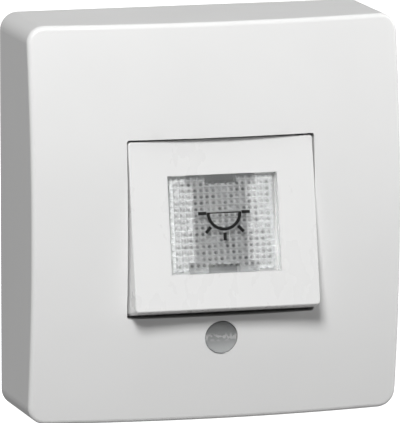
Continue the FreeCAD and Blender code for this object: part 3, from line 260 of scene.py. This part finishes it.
def clear_lens():
    """Painted shade above the ridge on the back of the lens, painted light below it, and painted
    glints along it.
    """
    finish, haze, near_front = clear_plastic("clear_lens", LENS_CLEARNESS, 0.0, LENS_FRONT,
                                             LENS_FRONT_ALPHA)
    above_ridge = finish.along("Z") + LENS_DROP
    below = finish.ramp(above_ridge, *LENS_SHADE_RANGE)
    ridge = finish.ramp(above_ridge.math("ABSOLUTE", above_ridge), *LENS_RIDGE_RANGE)
    # Painted glints along the ridge on the back of the lens
    painted_glints = (finish.noise(LENS_GLITTER_SCALE, 2.0) > 0.5) * ridge
    # Painted shade above the ridge, painted light below it
    body = finish.blend(below, LENS_PAINTED_SHADE_ABOVE_RIDGE, LENS_PAINTED_LIGHT_BELOW_RIDGE)
    finish.set(Base_Color=finish.blend(painted_glints * (1.0 - near_front), body, GLINT))
    skin = finish.noise(LENS_SKIN_SCALE, 3.0) * (1.0 - near_front)
    finish.set(Normal=finish.relief(haze * 0.2 + skin, LENS_SKIN_DEPTH, 0.6))
    return finish.material


WINDOW_CLEARNESS = 0.62
WINDOW_FRONT = 31.36 * MM
WINDOW_FRONT_ALPHA = 0.15
WINDOW_CENTRE = 5.33 * MM
WINDOW_HAZE_DEPTH = 0.02 * MM
WINDOW_PLAIN = ((0.72, 0.735, 0.735), (0.86, 0.875, 0.875))
WINDOW_PRISMS = (0.93, 0.95, 0.95)
PRISM_PITCH = 1.3 * MM
PRISM_FIELD = (10.4 * MM, 9.1 * MM)
PRISM_UNEVEN_SCALE = 500.0
PRISM_UNEVEN_RANGE = (0.3, 0.65)
# Painted highlight and painted shade spots in each prism: their size, their middles and the shade
# colour
PRISM_PAINTED_SPOT_SIZE = 0.12
PRISM_PAINTED_HIGHLIGHT_SPOT = (0.32, 0.36)
PRISM_PAINTED_SHADE_SPOT = (0.66, 0.62)
PRISM_PAINTED_SHADE_COLOUR = (0.06, 0.065, 0.065)


def clear_window():
    """Each prism on the back of the window gets a painted highlight spot and a painted shade spot."""
    finish, haze, near_front = clear_plastic("clear_window", WINDOW_CLEARNESS, FACE_TILT,
                                             WINDOW_FRONT, WINDOW_FRONT_ALPHA)
    across = finish.along("X")
    drop = 0.0 - finish.along("Y") * math.sin(FACE_TILT) - finish.along("Z") * math.cos(FACE_TILT)
    from_centre = (across, drop - WINDOW_CENTRE)
    in_prism = [(side / PRISM_PITCH).math("FRACT", side / PRISM_PITCH) for side in from_centre]
    in_field = [half_size - side.math("ABSOLUTE", side) > 0.0
                for side, half_size in zip(from_centre, PRISM_FIELD)]

    field = in_field[0] * in_field[1] * (1.0 - near_front)
    uneven = finish.ramp(finish.noise(PRISM_UNEVEN_SCALE, 1.0), *PRISM_UNEVEN_RANGE)

    # A painted spot round a middle in each prism, used for the painted highlight and the painted shade
    def painted_spot(middle):
        from_middle = [part - centre for part, centre in zip(in_prism, middle)]
        squared = from_middle[0] * from_middle[0] + from_middle[1] * from_middle[1]
        return finish.ramp(squared, PRISM_PAINTED_SPOT_SIZE, 0.0) * field * uneven

    plain = finish.blend(haze, *WINDOW_PLAIN)
    body = finish.blend(1.0 - field, plain, WINDOW_PRISMS)
    # Painted highlight spot, then painted shade spot, in each prism
    with_painted_highlights = finish.blend(painted_spot(PRISM_PAINTED_HIGHLIGHT_SPOT), body, GLINT)
    finish.set(Base_Color=finish.blend(painted_spot(PRISM_PAINTED_SHADE_SPOT), with_painted_highlights, PRISM_PAINTED_SHADE_COLOUR))
    finish.set(Normal=finish.relief(haze, WINDOW_HAZE_DEPTH, 0.4))
    return finish.material


LAMP_CAP_LENGTH = 4.2 * MM
LAMP_CAP_EDGE = 0.05 * MM
LAMP_CAP_WHITE = (0.78, 0.77, 0.74)
LAMP_CAP_ROUGHNESS = 0.42
LAMP_GLASS = (0.80, 0.78, 0.74)
LAMP_GLASS_SMOOTHER = 0.34
LAMP_GLASS_CLEARER = 0.45
LAMP_BROWN = (0.36, 0.28, 0.22)
LAMP_BROWN_LENGTH = 4 * MM
LAMP_BROWN_SCALE = 300.0


def lamp_finish(name, node):
    """A white ceramic cap, and in front of it a glass tube that is faintly browned near the cap."""
    finish = Finish(name, Coat_Weight=0.6, Coat_Roughness=0.05)
    wall_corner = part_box(node)[1]
    cap_end = -(wall_corner.y - LAMP_CAP_LENGTH)
    height = 0.0 - finish.along("Y")
    glass = finish.ramp(height, cap_end - LAMP_CAP_EDGE, cap_end + LAMP_CAP_EDGE)
    near_cap = finish.ramp(height, cap_end + LAMP_BROWN_LENGTH, cap_end)
    browning = near_cap * finish.noise(LAMP_BROWN_SCALE, 3.0)
    tube = finish.blend(browning, LAMP_GLASS, LAMP_BROWN)
    finish.set(Base_Color=finish.blend(glass, LAMP_CAP_WHITE, tube))
    finish.set(Roughness=LAMP_CAP_ROUGHNESS - glass * LAMP_GLASS_SMOOTHER)
    finish.set(Alpha=1.0 - glass * LAMP_GLASS_CLEARER)
    return finish.material


WHITE = (0.80, 0.80, 0.795)
ALONG_LENGTH = (0.4, 6.0, 6.0)
ALL_ROUND = (3.0, 3.0, 3.0)

finishes = {
    "hood_white": moulded("hood_white", WHITE, 0.38, 2600.0, 0.004 * MM, gloss=0.05),
    "rocker_white": moulded("rocker_white", WHITE, 0.28, 2600.0, 0.003 * MM, gloss=0.15),
    "base_white": moulded("base_white", (0.70, 0.70, 0.685), 0.55, 2200.0, 0.02 * MM),
    "insert_grey": moulded("insert_grey", (0.30, 0.31, 0.32), 0.55, 2400.0, 0.015 * MM),
    "frame_grey": moulded("frame_grey", (0.46, 0.47, 0.47), 0.5, 2400.0, 0.012 * MM),
    "plunger_white": moulded("plunger_white", (0.66, 0.66, 0.63), 0.4, 2400.0, 0.008 * MM),
    "zinc_steel": plated("zinc_steel", (0.60, 0.62, 0.64), 0.34, ALONG_LENGTH),
    "screw_steel": plated("screw_steel", (0.66, 0.66, 0.65), 0.28, ALL_ROUND),
    "pin_steel": plated("pin_steel", (0.56, 0.57, 0.58), 0.22, ALONG_LENGTH),
    "spring_steel": plated("spring_steel", (0.42, 0.43, 0.45), 0.3, ALL_ROUND),
    "brass": plated("brass", (0.74, 0.56, 0.26), 0.3, ALONG_LENGTH),
    "clear_lens": clear_lens(),
    "clear_window": clear_window(),
}

for subpart in frame["record"]["subparts"]:
    node, slot = subpart["node"], subpart["material_slot"]
    if slot == "lamp_glass":
        surface = lamp_finish(node + "_glass", node)
    else:
        surface = finishes[slot]
    mesh = frame["nodes"][node].data
    mesh.materials.clear()
    mesh.materials.append(surface)


# Modelling

def deselect_all():
    bpy.ops.object.select_all(action="DESELECT")


def edit_faces(piece, chosen):
    """Goes into edit mode on a piece with only the chosen faces selected."""
    bpy.context.view_layer.objects.active = piece
    bpy.ops.object.mode_set(mode="EDIT")
    bpy.ops.mesh.select_mode(type="FACE")
    bpy.ops.mesh.select_all(action="DESELECT")
    bpy.ops.object.mode_set(mode="OBJECT")
    for face in piece.data.polygons:
        face.select = chosen(face)
    bpy.ops.object.mode_set(mode="EDIT")


# The lamp sign printed on the window

FACE_TOP_HEIGHT = 28.75 * MM
FACE_TOP_Z = 17.75 * MM
WINDOW_INSET = 0.1 * MM
INK_LIFT = 0.01 * MM
INK_THICKNESS = 0.03 * MM
INK_EDGE = 0.008 * MM
INK_COLOURS = ((0.004, 0.004, 0.004), (0.012, 0.012, 0.012))
INK_WEAR_SCALE = 700.0
INK_WEAR_DEPTH = 0.004 * MM

SIGN_LINE_DOWN = 15.4 * MM
SIGN_LINE_WIDTH = 0.25 * MM
SIGN_RADIUS = 3.42 * MM
SIGN_STROKE = 0.66 * MM
SIGN_BOWL_START = 0.05 * MM
SIGN_BOWL_STEPS = 40
SIGN_BAR = (1.8 * MM, 0.7 * MM)
SIGN_BAR_CENTRE = 4.7 * MM
SIGN_RAY_WIDTH = 0.7 * MM
# Each ray runs from one place to another, across and down from the middle of the face's top, in mm
SIGN_RAYS = ((0.0, 19.55, 0.0, 21.2), (-2.95, 18.3, -4.1, 19.5), (2.95, 18.3, 4.1, 19.5))


def inked_bar(centre, size, turn=0.0):
    """A bar of ink on the window, drawn flat: X to the right, Y up the face, and Z off it."""
    deselect_all()
    bpy.ops.mesh.primitive_cube_add(size=1, location=(*centre, 0), rotation=(0, 0, turn))
    bar = bpy.context.object
    bar.scale = (*size, INK_THICKNESS)
    bpy.ops.object.transform_apply(location=True, rotation=True, scale=True)
    bpy.ops.object.mode_set(mode="EDIT")
    bpy.ops.mesh.select_all(action="SELECT")
    bpy.ops.mesh.bevel(offset=INK_EDGE, segments=1)
    bpy.ops.object.mode_set(mode="OBJECT")
    return bar


def inked_bowl(radius, stroke, level):
    """The lamp's half circle, swept below its line from one end to the other."""
    deselect_all()
    bpy.ops.mesh.primitive_cube_add(size=1, location=(-radius, level, 0))
    bowl = bpy.context.object
    bowl.scale = (stroke, SIGN_BOWL_START, INK_THICKNESS)
    bpy.ops.object.transform_apply(location=True, rotation=True, scale=True)
    edit_faces(bowl, lambda face: face.normal.y < -0.9)
    bpy.ops.mesh.spin(steps=SIGN_BOWL_STEPS, angle=-math.pi, center=(0, level, 0), axis=(0, 0, 1))
    bpy.ops.mesh.select_all(action="SELECT")
    bpy.ops.mesh.remove_doubles(threshold=0.001 * MM)
    bpy.ops.mesh.normals_make_consistent(inside=False)
    bpy.ops.object.mode_set(mode="OBJECT")
    return bowl


def sign_ink():
    """Black ink, faintly paler and duller where it is worn."""
    ink = Finish("sign_ink", Specular_IOR_Level=0.2)
    wear = ink.noise(INK_WEAR_SCALE, 3.0)
    ink.set(Base_Color=ink.blend(wear, *INK_COLOURS))
    ink.set(Roughness=0.5 + wear * 0.2)
    ink.set(Normal=ink.relief(wear, INK_WEAR_DEPTH))
    return ink.material


def lamp_sign():
    level = -SIGN_LINE_DOWN
    line_size = (2 * SIGN_RADIUS + SIGN_STROKE, SIGN_LINE_WIDTH)
    strokes = [inked_bowl(SIGN_RADIUS, SIGN_STROKE, level), inked_bar((0, level), line_size)]
    for side in (-1, 1):
        strokes.append(inked_bar((side * SIGN_BAR_CENTRE, level), SIGN_BAR))
    for start_x, start_down, end_x, end_down in SIGN_RAYS:
        start = Vector((start_x, -start_down)) * MM
        end = Vector((end_x, -end_down)) * MM
        run = end - start
        ray_size = (run.length, SIGN_RAY_WIDTH)
        strokes.append(inked_bar((start + end) / 2, ray_size, math.atan2(run.y, run.x)))
    deselect_all()
    for stroke in strokes:
        stroke.select_set(True)
    bpy.context.view_layer.objects.active = strokes[0]
    bpy.ops.object.join()
    sign = strokes[0]
    sign.name = "lamp_sign"
    depth = WINDOW_INSET - INK_LIFT - INK_THICKNESS / 2
    height = FACE_TOP_HEIGHT - depth * math.cos(FACE_TILT)
    level_z = FACE_TOP_Z - depth * math.sin(FACE_TILT)
    stand = Matrix.Rotation(math.radians(90) - FACE_TILT, 4, "X")
    sign.matrix_world = Matrix.Translation((0, -height, level_z)) @ stand
    bpy.ops.object.transform_apply(location=True, rotation=True, scale=True)
    sign.data.materials.clear()
    sign.data.materials.append(sign_ink())
    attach(sign, "rocker")


lamp_sign()


# The return spring between the insert and the plunger, as a smooth copy of its mesh

SPRING_WELD = 0.0001 * MM
SPRING_SMOOTH_ANGLE = math.radians(70)


def pressed_spring():
    """A smooth copy of the return spring's mesh in the spring's place, with the spring itself hidden.
    """
    deselect_all()
    spring = bpy.data.objects.new("return_coil", frame["nodes"]["return_spring"].data.copy())
    bpy.context.scene.collection.objects.link(spring)
    spring.select_set(True)
    edit_faces(spring, lambda face: True)
    bpy.ops.mesh.remove_doubles(threshold=SPRING_WELD)
    bpy.ops.object.mode_set(mode="OBJECT")
    bpy.ops.object.shade_smooth_by_angle(angle=SPRING_SMOOTH_ANGLE)
    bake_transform(spring)
    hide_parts("return_spring")


pressed_spring()


# Studio

FLOOR_LEVEL = -42.2 * MM
FLOOR_SIZE = 8
FLOOR_GLOW = 0.95
FLOOR_FIBRE_SCALE = 400.0
FLOOR_COLOURS = ((0.90, 0.90, 0.90), (0.93, 0.93, 0.93))
TARGET = Vector((0.0, -0.0125, 0.0))

# Name, place, length of each side, and watts
STUDIO_LIGHTS = (
    ("key", (-0.428, -1.072, 0.893), 0.36, 20.0),
    ("side", (1.378, -0.061, 0.448), 0.7, 12.0),
    ("overhead", (0.0, -0.164, 1.442), 0.7, 3.6),
)

# The backdrop is brighter below the horizon than above it
BACKDROP_STRENGTH = (("From Min", -0.3), ("From Max", 0.3), ("To Min", 0.32), ("To Max", 0.06))

CAMERA_PLACE = (-0.4301, -1.5531, 0.2628)
CAMERA_LENS = 655.4
CAMERA_SENSOR = 36
CAMERA_SHIFT = (0.0012, -0.0021)
CAMERA_REACH = 20


def facing_target(place):
    return (TARGET - Vector(place)).to_track_quat("-Z", "Y").to_euler()


def studio_floor():
    deselect_all()
    bpy.ops.mesh.primitive_plane_add(size=FLOOR_SIZE, location=(0, 0, FLOOR_LEVEL))
    floor = bpy.context.object
    floor.name = "studio_floor"
    paper = Finish("floor_paper", Emission_Strength=FLOOR_GLOW, Emission_Color=(1, 1, 1, 1))
    fibre = paper.noise(FLOOR_FIBRE_SCALE, 3.0)
    paper.set(Base_Color=paper.blend(fibre, *FLOOR_COLOURS), Roughness=0.8)
    floor.data.materials.append(paper.material)
    floor.visible_diffuse = False
    floor.visible_glossy = False


def studio_light(name, place, side, watts):
    light = bpy.data.lights.new(name, "AREA")
    light.shape = "SQUARE"
    light.size = side
    light.energy = watts
    lamp = bpy.data.objects.new(name, light)
    bpy.context.scene.collection.objects.link(lamp)
    lamp.location = place
    lamp.rotation_euler = facing_target(place)


def studio_world():
    world = bpy.data.worlds.new("studio")
    world.use_nodes = True
    tree = world.node_tree
    backdrop = tree.nodes["Background"]
    direction = tree.nodes.new("ShaderNodeTexCoord")
    parts = tree.nodes.new("ShaderNodeSeparateXYZ")
    shade = tree.nodes.new("ShaderNodeMapRange")
    tree.links.new(direction.outputs["Generated"], parts.inputs[0])
    tree.links.new(parts.outputs["Z"], shade.inputs["Value"])
    for socket, number in BACKDROP_STRENGTH:
        shade.inputs[socket].default_value = number
    tree.links.new(shade.outputs["Result"], backdrop.inputs["Strength"])
    backdrop.inputs["Color"].default_value = (1, 1, 1, 1)
    bpy.context.scene.world = world


def photo_camera():
    lens = bpy.data.cameras.new("photo_camera")
    lens.lens = CAMERA_LENS
    lens.sensor_width = CAMERA_SENSOR
    lens.shift_x, lens.shift_y = CAMERA_SHIFT
    lens.clip_end = CAMERA_REACH
    camera = bpy.data.objects.new("photo_camera", lens)
    bpy.context.scene.collection.objects.link(camera)
    camera.location = CAMERA_PLACE
    camera.rotation_euler = facing_target(CAMERA_PLACE)
    bpy.context.scene.camera = camera


studio_floor()
for setting in STUDIO_LIGHTS:
    studio_light(*setting)
studio_world()
photo_camera()
bpy.context.scene.view_settings.view_transform = "Standard"
